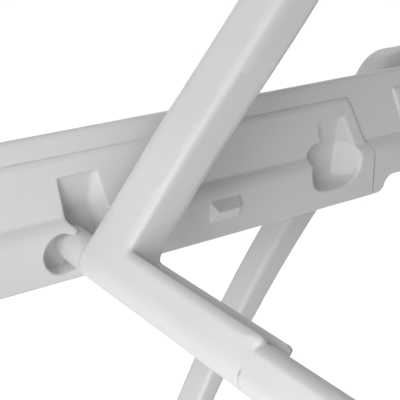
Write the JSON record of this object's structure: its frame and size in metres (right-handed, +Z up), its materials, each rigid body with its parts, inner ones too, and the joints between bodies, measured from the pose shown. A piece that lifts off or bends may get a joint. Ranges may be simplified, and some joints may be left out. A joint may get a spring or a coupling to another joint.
{
  "type": "folding sawhorse",
  "caption": "Folding sawhorse: two socketed rails on curved folding legs, with a pinned A-frame that carries a padded top beam.",
  "frame": {"origin": "centre of the footprint on the floor", "axes": "+Z up, X along the two rails, Y along the top beam from front to back"},
  "size_m": [0.812, 0.6626, 0.773],
  "materials": {
    "resin": "satin moulded resin",
    "cap_plastic": "satin",
    "tube": "powder coated white",
    "steel": "zinc plated",
    "rubber": "matt"
  },
  "bodies": {
    "base": {"back_rail": "resin", "front_rail": "resin", "back_left_socket_panel": "resin", "back_right_socket_panel": "resin", "back_centre_panel": "resin", "front_left_socket_panel": "resin", "front_right_socket_panel": "resin", "front_centre_panel": "resin", "back_left_rail_cap": "cap_plastic", "back_right_rail_cap": "cap_plastic", "front_left_rail_cap": "cap_plastic", "front_right_rail_cap": "cap_plastic", "left_tie_tube": "tube", "right_tie_tube": "tube", "back_left_spacer": "cap_plastic", "back_right_spacer": "cap_plastic", "front_left_spacer": "cap_plastic", "front_right_spacer": "cap_plastic", "back_left_pivot_bolt": "steel", "back_right_pivot_bolt": "steel", "front_left_pivot_bolt": "steel", "front_right_pivot_bolt": "steel"},
    "left_leg_frame": {"back_left_leg": "resin", "front_left_leg": "resin", "left_foot_bar": "tube", "back_left_foot": "rubber", "front_left_foot": "rubber"},
    "right_leg_frame": {"back_right_leg": "resin", "front_right_leg": "resin", "right_foot_bar": "tube", "back_right_foot": "rubber", "front_right_foot": "rubber"},
    "left_top_frame": {"left_upper_frame": "resin", "back_left_pin": "resin", "front_left_pin": "resin", "back_beam_bracket": "steel", "front_beam_bracket": "steel", "top_beam": "resin", "beam_pad": "rubber", "back_beam_cap": "cap_plastic", "front_beam_cap": "cap_plastic"},
    "right_top_frame": {"right_upper_frame": "resin", "back_right_pin": "resin", "front_right_pin": "resin", "right_top_bar": "tube"}
  },
  "joints": [
    {"name": "left_leg_fold", "type": "hinge", "parent": "base", "child": "left_leg_frame", "pos_m": [-0.063, 0, 0.349], "axis": [0, 1, 0], "range_deg": [0, 57]},
    {"name": "right_leg_fold", "type": "hinge", "parent": "base", "child": "right_leg_frame", "pos_m": [0.063, 0, 0.349], "axis": [0, -1, 0], "range_deg": [0, 57]},
    {"name": "left_frame_fold", "type": "hinge", "parent": "base", "child": "left_top_frame", "pos_m": [-0.3408, 0, 0.3155], "axis": [0, 1, 0], "range_deg": [0, 42]},
    {"name": "right_frame_fold", "type": "hinge", "parent": "base", "child": "right_top_frame", "pos_m": [0.3408, 0, 0.3155], "axis": [0, -1, 0], "range_deg": [0, 42]}
  ],
  "couplings": [
    {"joint": "right_frame_fold", "follows": "left_frame_fold", "ratio": 1}
  ]
}
